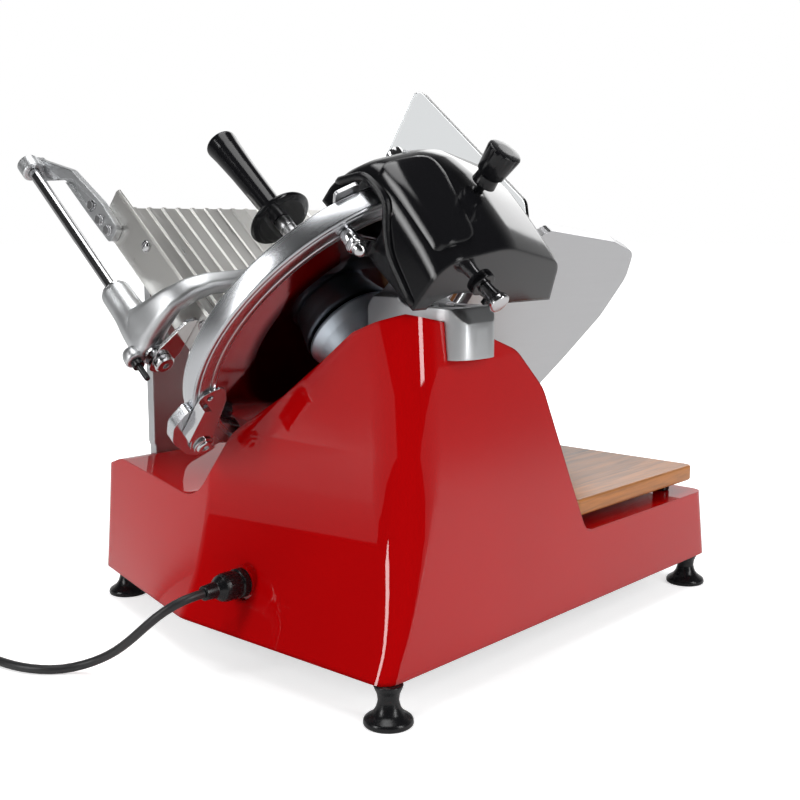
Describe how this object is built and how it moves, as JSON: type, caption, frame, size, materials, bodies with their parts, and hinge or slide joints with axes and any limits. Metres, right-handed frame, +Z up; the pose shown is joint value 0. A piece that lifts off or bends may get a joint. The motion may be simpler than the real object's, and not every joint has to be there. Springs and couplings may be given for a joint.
{
  "type": "gravity feed meat slicer",
  "caption": "Electric gravity feed slicer: leaning round blade in a guard, ribbed carriage table with press and clear hand guard, cast red body on four feet, sharpener on top.",
  "frame": {"origin": "bottom centre of the machine's box, without its cord, on the surface it stands on", "axes": "+X towards the product table's side, +Y towards the back of the machine, +Z up; the operator stands at -Y"},
  "size_m": [0.5202, 0.6503, 0.4341],
  "materials": {
    "red_enamel": "gloss",
    "bright_steel": "polished",
    "cast_aluminium": "cast",
    "satin_aluminium": "satin",
    "black_plastic": "gloss",
    "black_rubber": "matte",
    "oiled_wood": "oiled",
    "clear_plastic": "gloss",
    "grinding_stone": "rough",
    "start_green": "satin",
    "stop_red": "satin"
  },
  "bodies": {
    "base": {"base_casing": "red_enamel", "bottom_cover": "satin_aluminium", "foot_rear_left": "black_rubber", "foot_rear_right": "black_rubber", "foot_front_left": "black_rubber", "foot_front_right": "black_rubber", "motor": "cast_aluminium", "motor_cradle": "cast_aluminium", "drive_belt": "black_rubber", "bearing_housing": "cast_aluminium", "blade_bearing_front": "bright_steel", "blade_bearing_rear": "bright_steel", "ring_guard": "cast_aluminium", "ring_post": "bright_steel", "ring_bolt": "bright_steel", "ring_bracket": "bright_steel", "ring_tie_post": "bright_steel", "ring_tie_bar": "bright_steel", "sharpener_support": "cast_aluminium", "support_bolt": "bright_steel", "blade_cover": "satin_aluminium", "switch_plate": "black_plastic", "guide_rod": "bright_steel", "cable_gland": "black_plastic", "power_cord": "black_rubber", "cord_coil": "black_rubber", "power_plug": "black_plastic"},
    "board": {"cutting_board": "oiled_wood"},
    "blade_set": {"blade": "bright_steel", "blade_hub": "bright_steel", "blade_shaft": "bright_steel", "blade_pulley": "cast_aluminium"},
    "rotor": {"motor_shaft": "bright_steel", "motor_pulley": "bright_steel"},
    "gauge": {"gauge_plate": "satin_aluminium", "gauge_bar": "bright_steel"},
    "gauge_dial": {"gauge_knob": "black_plastic", "gauge_cam": "bright_steel"},
    "start": {"start_button": "start_green"},
    "stop": {"stop_button": "stop_red"},
    "carriage": {"product_table": "satin_aluminium", "carriage_leg": "cast_aluminium", "slide_block": "cast_aluminium", "clear_guard": "clear_plastic", "rod_bracket": "cast_aluminium", "press_rod": "bright_steel", "rod_clamp": "bright_steel"},
    "bush": {"press_bush": "bright_steel"},
    "press": {"press_arm": "cast_aluminium", "press_stem": "bright_steel", "press_handle": "black_plastic", "press_plate": "bright_steel", "press_stop_pin": "black_plastic"},
    "sharpener": {"sharpener_cover": "black_plastic", "sharpener_body": "cast_aluminium"},
    "clamp_knob": {"sharpener_knob": "black_plastic"},
    "grinder": {"grind_button": "bright_steel"},
    "grinder_stone": {"grind_stone": "grinding_stone"},
    "deburrer": {"debur_button": "bright_steel"},
    "deburrer_stone": {"debur_stone": "grinding_stone"}
  },
  "joints": [
    {"name": "board_lift", "type": "slide", "parent": "base", "child": "board", "axis": [0, 0, 1], "range_m": [0, 0.05]},
    {"name": "blade_spin", "type": "hinge", "parent": "base", "child": "blade_set", "pos_m": [-0.10716, 0.11384, 0.2458], "axis": [0.7547, 0, 0.6561], "continuous": true},
    {"name": "motor_spin", "type": "hinge", "parent": "base", "child": "rotor", "pos_m": [-0.05468, 0.11384, 0.18542], "axis": [0.7547, 0, 0.6561], "continuous": true},
    {"name": "gauge_travel", "type": "slide", "parent": "base", "child": "gauge", "axis": [0.7547, 0, 0.6561], "range_m": [-0.014, 0]},
    {"name": "gauge_turn", "type": "hinge", "parent": "base", "child": "gauge_dial", "pos_m": [-0.06735, -0.225, 0.0525], "axis": [0, 1, 0], "range_deg": [0, 270]},
    {"name": "start_press", "type": "slide", "parent": "base", "child": "start", "axis": [0, 1, 0], "range_m": [0, 0.003], "stiffness_N_per_m": 300, "springref_m": -0.001},
    {"name": "stop_press", "type": "slide", "parent": "base", "child": "stop", "axis": [0, 1, 0], "range_m": [0, 0.003], "stiffness_N_per_m": 300, "springref_m": -0.001},
    {"name": "carriage_travel", "type": "slide", "parent": "base", "child": "carriage", "axis": [0, 1, 0], "range_m": [-0.17, 0.02]},
    {"name": "press_slide", "type": "slide", "parent": "carriage", "child": "bush", "axis": [0.7547, 0, 0.6561], "range_m": [0, 0.12]},
    {"name": "press_swing", "type": "hinge", "parent": "bush", "child": "press", "pos_m": [0.10118, 0.14784, 0.23478], "axis": [-0.7547, 0, -0.6561], "range_deg": [0, 95]},
    {"name": "sharpener_lift", "type": "slide", "parent": "base", "child": "sharpener", "axis": [-0.6561, 0, 0.7547], "range_m": [0, 0.035]},
    {"name": "clamp_turn", "type": "hinge", "parent": "sharpener", "child": "clamp_knob", "pos_m": [-0.23123, 0.11384, 0.3367], "axis": [-0.6561, 0, 0.7547], "continuous": true},
    {"name": "grind_press", "type": "slide", "parent": "sharpener", "child": "grinder", "axis": [0.7547, 0, 0.6561], "range_m": [0, 0.004], "stiffness_N_per_m": 300, "springref_m": -0.002},
    {"name": "grind_spin", "type": "hinge", "parent": "grinder", "child": "grinder_stone", "pos_m": [-0.18838, 0.12284, 0.32094], "axis": [0.7547, 0, 0.6561], "continuous": true},
    {"name": "debur_press", "type": "slide", "parent": "sharpener", "child": "deburrer", "axis": [-0.7547, 0, -0.6561], "range_m": [0, 0.003], "stiffness_N_per_m": 300, "springref_m": -0.002},
    {"name": "debur_spin", "type": "hinge", "parent": "deburrer", "child": "deburrer_stone", "pos_m": [-0.17831, 0.10984, 0.33832], "axis": [0.7547, 0, 0.6561], "continuous": true}
  ],
  "couplings": [
    {"joint": "motor_spin", "follows": "blade_spin", "ratio": 4.5},
    {"joint": "gauge_turn", "follows": "gauge_travel", "rad_per_m": -336.5}
  ]
}
